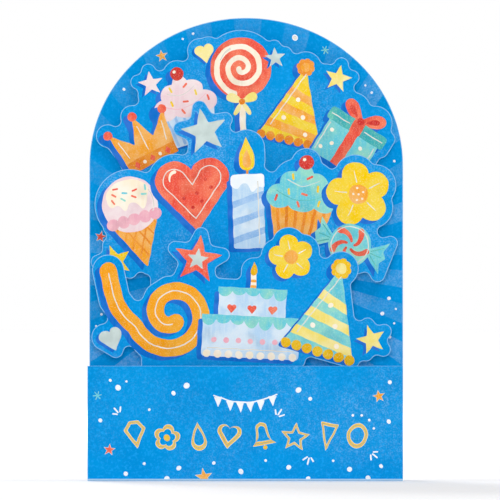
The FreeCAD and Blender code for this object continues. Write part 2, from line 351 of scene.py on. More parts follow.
def cupcake(a, b, mm):
    case = rounded([(-0.26, -0.5), (0.26, -0.5), (0.37, -0.06), (-0.37, -0.06)], 0.03)
    pleat_tops = [-0.28 + 0.112 * i for i in range(6)]
    pleats = [band([(x * 0.76, -0.47), (x, -0.09)], 0.035) for x in pleat_tops]
    lobes = [disc(-0.26, 0.0, 0.155, 0.9), disc(0.26, 0.0, 0.155, 0.9), disc(0.0, 0.0, 0.19, 0.82)]
    upper = [disc(-0.12, 0.17, 0.16, 0.85), disc(0.13, 0.18, 0.15, 0.85)]
    crest = drop(0.0, 0.3, 0.17, 0.17)
    cherry = disc(0.0, 0.42, 0.085)
    swirl = band(smooth([(-0.3, 0.06), (-0.1, -0.02), (0.12, 0.0), (0.3, 0.09)]), INLINE * mm, 0.4)
    inline = band(smooth([(-0.19, 0.2), (-0.02, 0.14), (0.18, 0.22)]), INLINE * mm, 0.4)
    rng = random.Random(11)
    sprinkles = [sprinkle(rng, x, z, 0.028, 0.026) for x, z in (
        (-0.3, -0.02), (-0.16, 0.06), (0.02, 0.05), (0.2, -0.04), (0.31, 0.03),
        (-0.13, 0.24), (0.06, 0.25), (0.17, 0.13), (-0.04, -0.07))]
    layers = [(a, [case]), (DEEP[a], pleats), (b, lobes + upper + [crest]), (DEEP[b], [swirl]),
              ("silver_foil", [inline]), ("red", sprinkles[::2]), ("yellow", sprinkles[1::2]),
              ("deep_red", [cherry]), ("cream", [disc(-0.028, 0.45, 0.02, steps=12)])]
    return [case] + lobes + upper + [crest, cherry], layers


def lollipop(a, b, mm):
    knot = (0.0, -0.13)
    plate = disc(0.0, 0.2, 0.3, steps=56)
    stick = band([(0.0, -0.08), (0.0, -0.47)], 0.06)
    swirl = band(spiral(0.0, 0.2, 0.02, 0.262, 2.15, 200.0), 0.05, 1.1)
    bow = [leaf(knot, (side * x, z), width)
           for x, z, width in ((0.15, -0.07, 0.09), (0.08, -0.26, 0.05)) for side in (-1, 1)]
    shine = band(arc(0.0, 0.2, 0.215, 118, 158), 0.022, 0.3)
    layers = [("cream", [stick]), (a, [plate]), (b, [swirl]), ("silver_foil", [shine]),
              ("lemon", bow), ("deep_orange", [disc(*knot, 0.03)])]
    return [plate, stick], layers


def crown(a, b, mm):
    left, middle, right = (-0.5, 0.32), (0.0, 0.42), (0.5, 0.32)
    body = rounded([(-0.42, -0.43), (0.42, -0.43), right, (0.17, -0.02), middle,
                    (-0.17, -0.02), left], 0.03)
    balls = [disc(*tip, 0.075) for tip in (left, middle, right)]
    necks = [band([(x, z), (0.8 * x, z - 0.18)], 0.15) for x, z in (left, middle, right)]
    hem = rounded(rect(-0.43, 0.43, -0.43, -0.24), 0.02)
    jewels = [[(x + 0.05, -0.335), (x, -0.4), (x - 0.05, -0.335), (x, -0.27)]
              for x in (-0.28, 0.0, 0.28)]
    pearls = [disc(x, -0.335, 0.03) for x in (-0.14, 0.14)]
    inlines = [band([(x, -0.17), top], INLINE * mm)
               for x, top in ((-0.34, (-0.4, 0.14)), (0.34, (0.4, 0.14)), (0.0, (0.0, 0.24)))]
    layers = [(a, [body]), (DEEP[a], [hem]), (b, balls), (b, jewels), ("cream", pearls),
              ("silver_foil", inlines)]
    return [body] + necks + balls, layers


def heart(a, b, mm):
    body = heart_loop()
    if mm * PLAIN_HEIGHT > 1:
        return [body], [(a, [body])]
    inline = rim(body, 0.1, INLINE * mm)
    shine = band(arc(-0.2, 0.22, 0.1, 100, 190), 0.045, 0.4)
    seeds = [disc(x, z, 0.024) for x, z in ((0.17, 0.18), (0.24, 0.07), (0.04, 0.01), (-0.13, -0.04),
                                            (0.1, -0.1), (-0.03, -0.17))]
    return [body], [(a, [body]), ("silver_foil", [inline]), (b, [shine]), (DEEP[a], seeds)]


def candle(a, b, mm):
    body = rounded(rect(-0.14, 0.14, -0.5, 0.14), 0.03)
    stripes = [[(-0.14, z), (0.14, z + 0.09), (0.14, z + 0.15), (-0.14, z + 0.06)]
               for z in (-0.46, -0.3, -0.14)]
    wick = band([(0.0, 0.12), (0.005, 0.25)], 0.02)
    flame, core = drop(0.0, 0.34, 0.1, 0.15), drop(0.0, 0.3, 0.055, 0.085)
    inline = band([(0.09, -0.46), (0.09, 0.09)], INLINE * mm)
    wax = rounded([(-0.15, 0.16), (-0.15, 0.05), (-0.09, 0.02), (-0.05, 0.08), (0.0, 0.08),
                   (0.04, -0.02), (0.09, 0.05), (0.15, 0.03), (0.15, 0.16)], 0.04)
    layers = [("deep_orange", [wick]), (b, [flame]), ("orange", [core]), (a, [body]),
              (DEEP[a], stripes), ("white", [wax]), ("silver_foil", [inline])]
    return [body, flame], layers


def cone(a, b, mm):
    left, right, tip = (-0.27, 0.04), (0.27, 0.04), (0.0, -0.5)
    wafer = rounded([left, tip, right], 0.03)
    lattice = []
    for share in (0.2, 0.4, 0.6, 0.8):
        top = lerp(left, right, share)
        for foot in (lerp(right, tip, 1 - share), lerp(left, tip, share)):
            lattice.append(band([top, lerp(top, foot, 0.95)], 0.018))
    scoop = disc(0.0, 0.2, 0.3, steps=48)
    skirt = [disc(-0.235 + 0.118 * i, 0.035, 0.066, steps=16) for i in range(5)]
    pour = rounded([(-0.24, 0.36), (-0.22, 0.2), (-0.12, 0.24), (-0.07, 0.12), (0.0, 0.22),
                    (0.08, 0.2), (0.13, 0.09), (0.2, 0.22), (0.25, 0.34), (0.12, 0.46),
                    (-0.1, 0.47)], 0.07)
    rng = random.Random(5)
    sprinkles = []
    for i in range(9):
        row = i // 4
        sprinkles.append(sprinkle(rng, -0.17 + 0.115 * (i % 4) + 0.03 * row, 0.27 + 0.065 * row,
                                  0.022, 0.02))
    inline = band(arc(0.0, 0.2, 0.255, -30, 25), INLINE * mm)
    layers = [(b, [wafer]), (DEEP[b], lattice), (a, [scoop]), (DEEP[a], skirt), ("cream", [pour]),
              ("red", sprinkles[::2]), ("teal", sprinkles[1::2]), ("silver_foil", [inline])]
    return [wafer, scoop], layers


def drips(left, right, top, fall, count):
    """Icing that runs down from an edge in round drips of uneven length."""
    path = [(right, top), (left, top)]
    steps = count * 10
    for i in range(steps + 1):
        share = i / steps
        length = 0.7 + 0.3 * math.sin(5.1 * math.floor(share * count))
        wave = abs(math.sin(math.pi * share * count)) ** 0.6
        path.append((left + (right - left) * share, top - fall * (0.35 + 0.65 * wave * length)))
    return path


def cake(a, b, mm):
    lower = rounded(rect(-0.52, 0.52, -0.5, -0.06), 0.04)
    upper = rounded(rect(-0.36, 0.36, -0.1, 0.24), 0.04)
    stick = band([(0.0, 0.22), (0.0, 0.4)], 0.06)
    flame = drop(0.0, 0.46, 0.05, 0.075)
    icing = [drips(-0.53, 0.53, -0.05, 0.15, 7), drips(-0.37, 0.37, 0.25, 0.13, 5)]
    beads = [disc(-0.46 + 0.115 * i, -0.47, 0.042, steps=14) for i in range(9)]
    spots = [disc(-0.39 + 0.13 * i, -0.32, 0.03, steps=14) for i in range(7)]
    hearts = [heart_loop(x, 0.02, 0.1) for x in (-0.22, 0.0, 0.22)]
    stick_bands = [rounded(rect(-0.03, 0.03, z, z + 0.03), 0.01) for z in (0.25, 0.31)]
    inline = band([(-0.46, -0.41), (0.46, -0.41)], INLINE * mm)
    layers = [("cream", [stick]), ("deep_yellow", [flame]), (a, [lower, upper]), (b, icing),
              ("cream", beads), ("deep_pink", spots), ("red", hearts),
              ("silver_foil", [inline]), ("orange", stick_bands)]
    return [lower, upper, stick, flame], layers


def sweet(a, b, mm):
    ball = disc(0.0, 0.0, 0.43, steps=44)
    fans, folds = [], []
    for side in (-1, 1):
        fan = [(side * x, side * z) for x, z in ((0.3, 0.0), (0.74, -0.34), (0.68, -0.12),
                                                (0.76, 0.0), (0.68, 0.12), (0.74, 0.34))]
        fans.append(rounded(fan, 0.03))
        for rise in (-0.2, 0.0, 0.2):
            folds.append(band([(side * 0.44, rise * 0.2), (side * 0.66, rise)], INLINE * mm))
    stripes = []
    for turn in range(0, 360, 72):
        path = [around(0.0, 0.0, 0.355 * (i / 8), turn + 9 * i) for i in range(2, 9)]
        stripes.append(band(path, 0.05, 2.4))
    layers = [(a, fans), (DEEP[a], folds), (a, [ball]), (b, stripes),
              ("silver_foil", [rim(ball, 0.045, INLINE * mm)])]
    return [ball] + fans, layers


def flower(a, b, mm):
    body = petal_loop()
    veins = [band([around(0.0, 0.0, 0.19, turn), around(0.0, 0.0, 0.37, turn)], INLINE * mm * 1.3, 0.4)
             for turn in range(90, 450, 72)]
    pips = [disc(x, z, 0.018, steps=10) for x, z in ((0.0, 0.0), (0.08, 0.02), (-0.08, 0.02),
                                                     (0.04, -0.08), (-0.04, -0.08), (0.0, 0.1))]
    return [body], [(a, [body]), ("silver_foil", veins), ("orange", [disc(0.0, 0.0, 0.15)]), (b, pips)]


def star(a, b, mm):
    body = rounded(star_loop(0.0, 0.0, 1.0), 0.02)
    if a in FOILS or mm * PLAIN_HEIGHT > 1:
        return [body], [(a, [body])]
    inner = rounded(star_loop(0.0, 0.0, 0.46), 0.01)
    return [body], [(a, [body]), (b, [inner])]


def curl(a, b, mm):
    """A party streamer: a coil whose outer end runs out to the left and up."""
    coil = spiral(0.12, 0.0, 0.5, 0.12, 1.25, 200.0, 44)[::-1]
    path = coil + smooth([coil[-1], (-0.52, 0.0), (-0.62, 0.2), (-0.7, 0.55)])[1:]
    body = band(path, 0.22)
    inline = band(path[2:-1], INLINE * 1.2 * mm)
    return [body], [(a, [body]), ("silver_foil", [inline])]


FIGURES = {"gift": gift, "hat": hat, "cupcake": cupcake, "lollipop": lollipop, "crown": crown,
           "heart": heart, "candle": candle, "cone": cone, "cake": cake, "sweet": sweet,
           "flower": flower, "star": star, "curl": curl}


# Printing.

def waver(x, z):
    """A hand-drawn edge wanders a little, by waves of unlike lengths that neighbours share."""
    return (x + WAVER * math.sin(0.83 * z + 0.37 * x) + 0.2 * WAVER * math.sin(2.1 * z + 1.0),
            z + WAVER * math.sin(0.71 * x - 0.43 * z) + 0.2 * WAVER * math.sin(1.9 * x + 2.0))


def divided(loop):
    """The loop with points added so that no straight piece is longer than STEP."""
    points = []
    for a, b in zip(loop, loop[1:] + loop[:1]):
        count = max(1, math.ceil(math.dist(a, b) / STEP))
        points += [lerp(a, b, i / count) for i in range(count)]
    return points


def as_loops(shape):
    """The shape as a list of its loop and its holes."""
    return [shape] if isinstance(shape[0][0], (int, float)) else shape


class Print:
    """The printed shapes on one flat face of the card, cut off at the sheet's edge."""

    def __init__(self, name, face_y, sheet):
        self.name = name
        self.face_y = face_y
        self.points = []
        self.faces = []
        self.owners = []      # for each face, its shape's number and whether it is a hole
        self.inks = []        # for each shape, its ink
        self.add("sheet", sheet, steady=True)

    def add(self, ink, shape, steady=False):
        """Adds a shape over those before it. A steady one's edge doesn't waver."""
        for i, loop in enumerate(as_loops(shape)):
            if not steady:
                loop = [waver(*p) for p in divided(loop)]
            if area(loop) < 0:
                loop = loop[::-1]
            self.faces.append([len(self.points) + k for k in range(len(loop))])
            self.points += [Vector(p) for p in loop]
            self.owners.append((len(self.inks), i > 0))
        self.inks.append(ink)

    def visible(self):
        """The points in use and, for each inked triangle, its corners and the topmost shape."""
        points, _, corners, _, _, sources = delaunay_2d_cdt(self.points, [], self.faces, 0, WELD)
        kept = []
        for triangle, faces in zip(corners, sources):
            owners = [self.owners[f] for f in faces]
            shapes = {n for n, hole in owners if not hole} - {n for n, hole in owners if hole}
            if 0 in shapes and len(shapes) > 1:
                kept.append((triangle, max(shapes)))
        used = sorted({k for triangle, _ in kept for k in triangle})
        number = {k: i for i, k in enumerate(used)}
        return [points[k] for k in used], [([number[k] for k in t], shape) for t, shape in kept]

    def make(self):
        """Builds the ink as one thin closed prism for each patch of print."""
        points, kept = self.visible()
        inks = sorted({self.inks[shape] for _, shape in kept})
        verts = [(x * MM, self.face_y + depth * MM, z * MM)
                 for depth in (-INK_RISE, INK_SINK) for x, z in points]
        below = len(points)
        edges = {(a, b) for t, _ in kept for a, b in zip(t, t[1:] + t[:1])}
        faces, slots = [], []
        for triangle, shape in kept:
            slot = inks.index(self.inks[shape])
            walls = [(a, a + below, b + below, b) for a, b in zip(triangle, triangle[1:] + triangle[:1])
                     if (b, a) not in edges]
            faces += [triangle, [k + below for k in triangle[::-1]]] + walls
            slots += [slot] * (2 + len(walls))
        mesh = bpy.data.meshes.new(self.name)
        mesh.from_pydata(verts, [], faces)
        for ink in inks:
            mesh.materials.append(material(ink))
        mesh.polygons.foreach_set("material_index", slots)
        mesh.validate()
        mesh.update()
        piece = bpy.data.objects.new(self.name, mesh)
        bpy.context.scene.collection.objects.link(piece)
        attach(piece, "root")

    def figure(self, kind, x, z, height, tilt, *inks):
        """Prints one figure over its drop shadow."""
        silhouette, layers = FIGURES[kind](*inks, 1.0 / height)
        share = min(1.0, 0.35 + height / 50.0)      # a small figure's shadow lies nearer to it
        shade_x, shade_z = x + SHADE_SHIFT[0] * share, z + SHADE_SHIFT[1] * share
        for shape in silhouette:
            self.add("shade", placed(shape, shade_x, shade_z, height, tilt))
        for ink, shapes in layers:
            for shape in shapes:
                self.add(ink, placed(shape, x, z, height, tilt))


def placed(shape, x, z, height=1.0, tilt=0.0):
    """The shape scaled to that height, turned by tilt degrees, and moved to x and z."""
    c, s = height * math.cos(math.radians(tilt)), height * math.sin(math.radians(tilt))
    return [[(x + u * c - v * s, z + u * s + v * c) for u, v in loop] for loop in as_loops(shape)]


# Materials.

def linear(colour):
    """An sRGB colour from 0 to 255 as Blender's linear one."""
    parts = [c / 255 for c in colour]
    return [c / 12.92 if c <= 0.04045 else ((c + 0.055) / 1.055) ** 2.4 for c in parts] + [1.0]


class Nodes:
    """Adds nodes to a node tree and links them."""

    def __init__(self, tree):
        self.nodes = tree.nodes
        self.links = tree.links

    def node(self, kind, **values):
        made = self.nodes.new(kind)
        for key, value in values.items():
            setattr(made, key, value)
        return made

    def put(self, socket, value):
        """Links a socket to another one, or sets its value."""
        if isinstance(value, bpy.types.NodeSocket):
            self.links.new(value, socket)
        else:
            socket.default_value = value

    def math(self, operation, a, b=0.0, c=0.0):
        made = self.node("ShaderNodeMath", operation=operation)
        for socket, value in zip(made.inputs, (a, b, c)):
            self.put(socket, value)
        return made.outputs[0]

    def product(self, a, b):
        return self.math("MULTIPLY", a, b)

    def line(self, value, slope, start):
        """The value times slope, plus start."""
        return self.math("MULTIPLY_ADD", value, slope, start)


class Shader(Nodes):
    """The nodes of a new material."""

    def __init__(self, name):
        self.material = bpy.data.materials.new(name)
        self.material.use_nodes = True
        super().__init__(self.material.node_tree)
        self.bsdf = self.nodes["Principled BSDF"]
        self.place = self.node("ShaderNodeTexCoord").outputs["Object"]

    def split(self, vector):
        made = self.node("ShaderNodeSeparateXYZ")
        self.put(made.inputs[0], vector)
        return made.outputs

    def mix(self, share, a, b):
        """Colour a where the share is 0, and colour b where it is 1."""
        made = self.node("ShaderNodeMix", data_type="RGBA")
        self.put(made.inputs["Factor"], share)
        self.put(made.inputs[6], a)
        self.put(made.inputs[7], b)
        return made.outputs[2]

    def ramp(self, value, low, high):
        """0 below low, 1 above high, and eased between."""
        made = self.node("ShaderNodeMapRange", interpolation_type="SMOOTHSTEP")
        for socket, number in zip(made.inputs, (value, low, high, 0.0, 1.0)):
            self.put(socket, number)
        return made.outputs[0]

    def noise(self, size, seed, detail=2.0, stretch=(1.0, 1.0, 1.0), roughness=0.5):
        """Noise whose features are that many millimetres across."""
        mapping = self.node("ShaderNodeMapping")
        self.put(mapping.inputs["Vector"], self.place)
        self.put(mapping.inputs["Location"], (seed, 1.7 * seed, 0.6 * seed))
        self.put(mapping.inputs["Scale"], tuple(1.0 / (MM * size * k) for k in stretch))
        made = self.node("ShaderNodeTexNoise")
        self.put(made.inputs["Vector"], mapping.outputs[0])
        self.put(made.inputs["Scale"], 1.0)
        self.put(made.inputs["Detail"], detail)
        self.put(made.inputs["Roughness"], roughness)
        return made.outputs["Fac"]

    def bump(self, height, distance, strength):
        """Raises the surface by that distance, in metres, where the height is 1."""
        made = self.node("ShaderNodeBump")
        self.put(made.inputs["Height"], height)
        self.put(made.inputs["Distance"], distance)
        self.put(made.inputs["Strength"], strength)
        self.put(self.bsdf.inputs["Normal"], made.outputs[0])

    def surface(self, colour, roughness, metallic=0.0, shine=0.02):
        """Sets the main sockets. shine is low for uncoated paper and dry ink."""
        self.put(self.bsdf.inputs["Specular IOR Level"], shine)
        self.put(self.bsdf.inputs["Base Color"], colour)
        self.put(self.bsdf.inputs["Roughness"], roughness)
        self.put(self.bsdf.inputs["Metallic"], metallic)
        return self.material


def ink_material(name):
    """Chalky ink: two close colours, deeper blots, dry streaks and fine pale specks."""
    main, second = INKS[name]
    deeper = [0.9 * part for part in main]
    seed = 3.0 + 7.0 * sorted(INKS).index(name)
    s = Shader("ink_" + name)
    wander = s.ramp(s.noise(9.0, seed, 3.0), 0.38, 0.68)
    blot = s.ramp(s.noise(13.0, seed + 4.0), 0.56, 0.72)
    streak = s.ramp(s.noise(2.2, seed + 1.0, stretch=(0.5, 1.0, 5.0)), 0.46, 0.74)
    colour = s.mix(wander, linear(main), linear(second))
    colour = s.mix(s.product(blot, 0.6), colour, linear(deeper))
    colour = s.mix(s.product(streak, 0.5), colour, linear(second))
    if name != "shade":
        speck = s.ramp(s.noise(0.55, seed + 2.0, 1.0), 0.5, 0.75)
        colour = s.mix(s.product(speck, 0.16), colour, linear(CHALK))
    grain = s.noise(0.5, seed + 3.0)
    s.bump(grain, 0.02 * MM, 0.35)
    return s.surface(colour, s.line(grain, 0.12, 0.74))


def foil_material(name):
    """Pressed foil: soft metal with the board's fibres just showing."""
    s = Shader(name)
    pale = [part + 12 for part in FOILS[name]]
    cloud = s.ramp(s.noise(5.0, 4.0), 0.35, 0.7)
    grain = s.noise(0.7, 8.0)
    s.bump(grain, 0.03 * MM, 0.5)
    return s.surface(s.mix(cloud, linear(FOILS[name]), linear(pale)), s.line(grain, 0.15, 0.55),
                     metallic=0.4, shine=0.3)


def rim_and_highlight_material():
    """The pale blue line along a cut edge, flecked with the print: the pale cut board and a painted
    highlight where the edge catches the light.
    """
    s = Shader("cut_rim_and_highlight")
    return s.surface(s.mix(s.noise(1.5, 2.0), linear(RIM_AND_HIGHLIGHT), linear(BLUE_SPONGED)), 0.8)


@functools.cache
def material(ink):
    """The material of an ink, a foil or the cut rim with its painted highlight, made once."""
    # the rim ink is pale cut board plus a painted highlight
    if ink == "rim":
        return rim_and_highlight_material()
    return foil_material(ink) if ink in FOILS else ink_material(ink)


def facing_front(s):
    """1 on faces that look towards the front."""
    normal = s.split(s.node("ShaderNodeNewGeometry").outputs["True Normal"])
    return s.math("LESS_THAN", normal["Y"], -FACING)


def inside_carrier(s):
    """1 on the upper side of the card's floor and on the inner side of its front panel."""
    near = 2 * BEND_TOP * MM
    normal = s.split(s.node("ShaderNodeNewGeometry").outputs["True Normal"])
    place = s.split(s.place)
    near_floor = s.math("LESS_THAN", place["Z"], near)
    near_front = s.math("LESS_THAN", place["Y"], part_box("carrier")[0].y + near)
    floor_up = s.product(s.math("GREATER_THAN", normal["Z"], FACING), near_floor)
    inner_front = s.product(s.math("GREATER_THAN", normal["Y"], FACING), near_front)
    return s.math("MAXIMUM", floor_up, inner_front)


def sponged_blue(s, seed, sponging):
    """The printed blue with fine bright flecks and that much sponging in paler patches."""
    patch = s.ramp(s.noise(34.0, seed), 0.42, 0.62)
    clump = s.ramp(s.noise(2.8, seed + 1.0, 3.0, roughness=0.7), 0.4, 0.66)
    grain = s.ramp(s.noise(0.7, seed + 2.0, 1.0), 0.44, 0.66)
    cover = s.product(s.line(clump, 0.7, 0.3), s.line(grain, 0.85, 0.15))
    cover = s.product(cover, s.line(patch, 0.88, 0.12))
    cloud = s.ramp(s.noise(20.0, seed + 3.0), 0.35, 0.7)
    fleck = s.ramp(s.noise(1.2, seed + 4.0), 0.46, 0.72)
    base = s.mix(cloud, linear(BLUE), linear(BLUE_DEEP))
    base = s.mix(s.product(fleck, 0.6), base, linear(BLUE_BRIGHT))
    return s.mix(s.product(cover, sponging), base, linear(BLUE_SPONGED)), grain


def plain_board(s, seed):
    """Uncoated white board with faint fibres."""
    fibre = s.ramp(s.noise(0.9, seed, 3.0, stretch=(3.0, 1.0, 0.6)), 0.5, 0.72)
    cloud = s.ramp(s.noise(14.0, seed + 1.0), 0.2, 0.8)
    tone = s.mix(cloud, linear(BOARD_WHITE), linear(BOARD_CLOUD))
    return s.mix(s.product(fibre, 0.35), tone, linear(BOARD_FIBRE))


def finish_board(s, side, printed, grain, seed):
    """Print where side is 1, bare board elsewhere and on the cut edges."""
    s.bump(grain, 0.02 * MM, 0.3)
    return s.surface(s.mix(side, plain_board(s, seed), printed), s.line(grain, 0.1, 0.8))


def tier_material(name, seed, sponging):
    s = Shader(name)
    printed, grain = sponged_blue(s, seed, sponging)
    return finish_board(s, facing_front(s), printed, grain, seed)


def in_a_ray(s, x, z):
    """1 inside the sunburst's rays, which widen from a point near the back panel's middle."""
    ray_count = 30
    ray_share = 0.525             # of the angle from one ray to the next
    ray_start = 21.2              # degrees from straight up
    soft_edge = 0.015             # of the same angle
    centre_z = 101.0
    wander = 1.1                  # how far the rays' edges waver
    whole_turns = 100.0           # keeps the number of turns above zero
    shift = s.line(s.noise(11.0, 6.0), 2 * wander * MM, -wander * MM)
    angle = s.math("ARCTAN2", s.math("ADD", x, shift), s.math("SUBTRACT", z, centre_z * MM))
    turns = s.line(angle, ray_count / (2 * math.pi), whole_turns - ray_start * ray_count / 360)
    from_middle = s.math("PINGPONG", s.math("SUBTRACT", s.math("FRACT", turns), ray_share / 2), 0.5)
    outside = s.ramp(from_middle, ray_share / 2 - soft_edge, ray_share / 2 + soft_edge)
    return s.math("SUBTRACT", 1.0, outside)


def sunburst(s, x, z):
    """Sponged pale rays on flecked blue, stronger low down and to the right."""
    clump = s.ramp(s.noise(2.2, 51.0, 3.0, roughness=0.7), 0.36, 0.6)
    patch = s.ramp(s.noise(26.0, 52.0), 0.36, 0.6)
    speck = s.ramp(s.noise(0.7, 53.0, 1.0), 0.4, 0.66)
    cover = s.product(s.line(clump, 0.4, 0.35), s.line(patch, 0.55, 0.45))
    cover = s.product(cover, s.line(speck, 0.8, 0.5))
    downwards = s.ramp(s.line(x, 0.6, s.product(z, -1.0)), -215 * MM, -100 * MM)
    lit = s.product(s.product(in_a_ray(s, x, z), cover), s.line(downwards, 0.75, 0.45))
    fleck = s.ramp(s.noise(1.2, 54.0), 0.46, 0.72)
    base = s.mix(s.product(fleck, 0.5), linear(BLUE), linear(BLUE_BRIGHT))
    return s.mix(lit, base, linear(BLUE_SPONGED))


def carrier_material():
    """The back panel has a sunburst, and the front panel is sponged blue, with a painted highlight
    along the bottom fold.
    """
    fold_highlight_full, fold_highlight_end = 0.9 * MM, 1.2 * MM
    s = Shader("carrier_print")
    x, y, z = (s.split(s.place)[axis] for axis in "XYZ")
    rightwards = s.ramp(x, -50 * MM, 60 * MM)
    printed, grain = sponged_blue(s, 41.0, s.line(rightwards, 0.55, 0.2))
    on_back = s.math("GREATER_THAN", y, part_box("carrier")[1].y - BEND_TOP * MM)
    on_front = s.math("LESS_THAN", y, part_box("carrier")[0].y + BEND_TOP * MM)
    colour = s.mix(on_back, printed, sunburst(s, x, z))
    # painted highlight: the front panel turns paler just above its bottom fold
    low = s.math("SUBTRACT", 1.0, s.ramp(z, fold_highlight_full, fold_highlight_end))
    colour = s.mix(s.product(s.product(low, on_front), 0.8), colour, linear(BLUE_FOLD_HIGHLIGHT))
    side = s.math("MAXIMUM", facing_front(s), inside_carrier(s))
    return finish_board(s, side, colour, grain, 60.0)


def card_material():
    s = Shader("spacer_card")
    s.bump(s.noise(0.6, 71.0), 0.02 * MM, 0.4)
    return s.surface(plain_board(s, 70.0), 0.85)


def dress(node, made):
    """Gives a CAD node that one material."""
    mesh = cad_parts[node].data
    mesh.materials.clear()
    mesh.materials.append(made)


# The card's own parts.

def front_loops(node):
    """The outline of a flat node's front face, in millimetres, and the outlines of its holes."""
    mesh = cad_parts[node].data
    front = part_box(node)[0].y
    near = 1e-6
    edges = {}
    for face in mesh.polygons:
        corners = [mesh.vertices[v].co for v in face.vertices]
        if face.normal.y > -0.99 or any(abs(corner.y - front) > near for corner in corners):
            continue
        keys = [tuple(round(c, 7) for c in corner) for corner in corners]
        for a, b in zip(keys, keys[1:] + keys[:1]):
            if (b, a) in edges:
                del edges[(b, a)]
            else:
                edges[(a, b)] = True
    follows = {a: b for a, b in edges}
    loops = []
    while follows:
        start, here = follows.popitem()
        loop = [start]
        while here != start:
            loop.append(here)
            here = follows.pop(here)
        loops.append([(x / MM, z / MM) for x, y, z in loop])
    return loops


def dress_tier(node, figures, seed, sponging):
    """Gives a tier its print, pale die-cut rim with its painted highlight, and figures."""
    dress(node, tier_material(node + "_print", seed, sponging))
    sheet = front_loops(node)
    art = Print(node + "_art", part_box(node)[0].y, sheet)
    for loop in sheet:
        # pale rim along the die-cut edge: cut board plus a painted highlight
        art.add("rim", [loop, inset(loop, CUT_EDGE)], steady=True)
    for figure in figures:
        art.figure(*figure)
    art.make()


def sparks(x, z, aim):
    """Three short strokes that fly from a point."""
    return [band([around(x, z, 1.4, aim + turn), around(x, z, reach, aim + turn)], 0.7)
            for turn, reach in ((-42, 3.51), (0, 4.03), (42, 3.25))]


def asterisk(x, z, size):
    return [band([around(x, z, -size / 2, turn), around(x, z, size / 2, turn)], 0.55, 0.7)
            for turn in (10, 70, 130)]


def small_star(art, ink, x, z, height, tilt):
    """A little star with a fine silver outline."""
    outline = 0.9
    art.add("silver_foil", star_loop(x, z, height + outline, tilt))
    art.add(ink, star_loop(x, z, height, tilt))


def scatter(art, dots, stars, asterisk_at, asterisk_size):
    """Little white dots, outlined stars and one teal asterisk."""
    for x, z, radius in dots:
        art.add("white", disc(x, z, radius, steps=14))
    for one in stars:
        small_star(art, *one)
    for stroke in asterisk(*asterisk_at, asterisk_size):
        art.add("teal", stroke)


def hollow(loop, outer, inner):
    """A ring of the loop's own shape, between two sizes of it about its middle."""
    x, z = (sum(p[axis] for p in loop) / len(loop) for axis in (0, 1))
    return [[(x + (u - x) * size, z + (v - z) * size) for u, v in loop] for size in (outer, inner)]


def bell_loop():
    """Its right side from the top down, and the same mirrored."""
    side = smooth([(0.0, 0.44), (0.16, 0.34), (0.2, 0.1), (0.24, -0.16), (0.38, -0.3)])
    return rounded(side[::-1] + [(-x, z) for x, z in side[1:]], 0.02, 2)


ORNAMENTS = {
    "heart": heart_loop(0.0, 0.0, 0.86),
    "flame": drop(0.0, -0.02, 0.34, 0.46),
    "star": rounded(star_loop(0.0, -0.02, 0.98, 0.0, 0.46), 0.04),
    "gem": rounded([(-0.16, 0.42), (0.16, 0.42), (0.34, 0.16), (0.0, -0.45), (-0.34, 0.16)], 0.04),
    "flower": petal_loop(0.92),
    "bell": bell_loop(),
    "ring": disc(0.0, 0.0, 0.36, 1.2),
    "pennant": rounded([(-0.3, 0.44), (0.3, 0.44), (0.0, -0.48)], 0.06),
}
# An ornament's rings: ink, and outer and inner size as shares of its own.
ORNAMENT_RINGS = (("silver_foil", 1.0, 0.64), ("gold", 0.96, 0.68), ("pewter", 0.845, 0.795))
# Ornament, centre x, centre z, height and tilt.
FRONT_ROW = (
    ("gem", -50.5, 21.5, 15.0, 8.0), ("flower", -36.0, 20.0, 13.5, -10.0),
    ("flame", -21.5, 21.0, 14.5, 6.0), ("heart", -7.5, 20.5, 13.5, -8.0),
    ("bell", 8.0, 21.0, 14.5, 10.0), ("star", 23.0, 20.5, 14.5, -6.0),
    ("pennant", 38.0, 20.5, 14.5, -10.0), ("ring", 51.5, 21.0, 13.5, -14.0),
)
# Gold discs in the flower's middle and under the bell, and white sparks: x, z and radius or aim.
FRONT_DISCS = ((-36.0, 20.0, 1.5), (9.3, 15.6, 1.0))
FRONT_SPARKS = ((-57.5, 30.5, 130), (14.5, 29.5, 60), (57.5, 13.5, -40), (29.5, 12.0, -100))
# White dots: x, z and radius.
FRONT_DOTS = (
    (-62.0, 46.5, 0.7), (-58.5, 43.0, 1.3), (-54.5, 46.0, 0.5), (-33.0, 40.5, 1.0), (-27.0, 44.0, 1.4),
    (-66.5, 28.0, 0.9), (-44.0, 33.0, 0.6), (30.0, 38.0, 0.9), (24.5, 42.0, 1.3), (66.5, 45.5, 0.9),
    (66.0, 27.5, 1.0), (62.5, 7.0, 0.9), (48.0, 5.5, 1.2), (40.5, 9.5, 0.6), (20.0, 6.5, 1.1),
    (9.5, 9.5, 0.6), (-2.0, 4.5, 1.2), (-14.5, 8.5, 0.8), (-30.5, 6.0, 1.1), (-46.5, 8.0, 0.7),
    (-55.0, 3.5, 1.0), (-36.0, 1.3, 1.2), (29.0, 1.2, 1.0), (56.5, 1.4, 1.2),
)
BACK_DOTS = (
    (22.5, 204.5, 1.4), (-24.5, 206.3, 0.6), (-29.5, 204.0, 0.5), (66.0, 84.0, 0.8), (69.2, 79.0, 0.5),
    (63.0, 77.0, 0.9), (68.5, 72.5, 0.5), (66.5, 66.0, 0.7), (-67.0, 76.5, 0.6), (-69.5, 71.0, 0.5),
    (55.0, 182.5, 0.5), (58.0, 179.0, 0.6), (-56.5, 180.5, 0.7), (68.5, 147.5, 0.6),
)
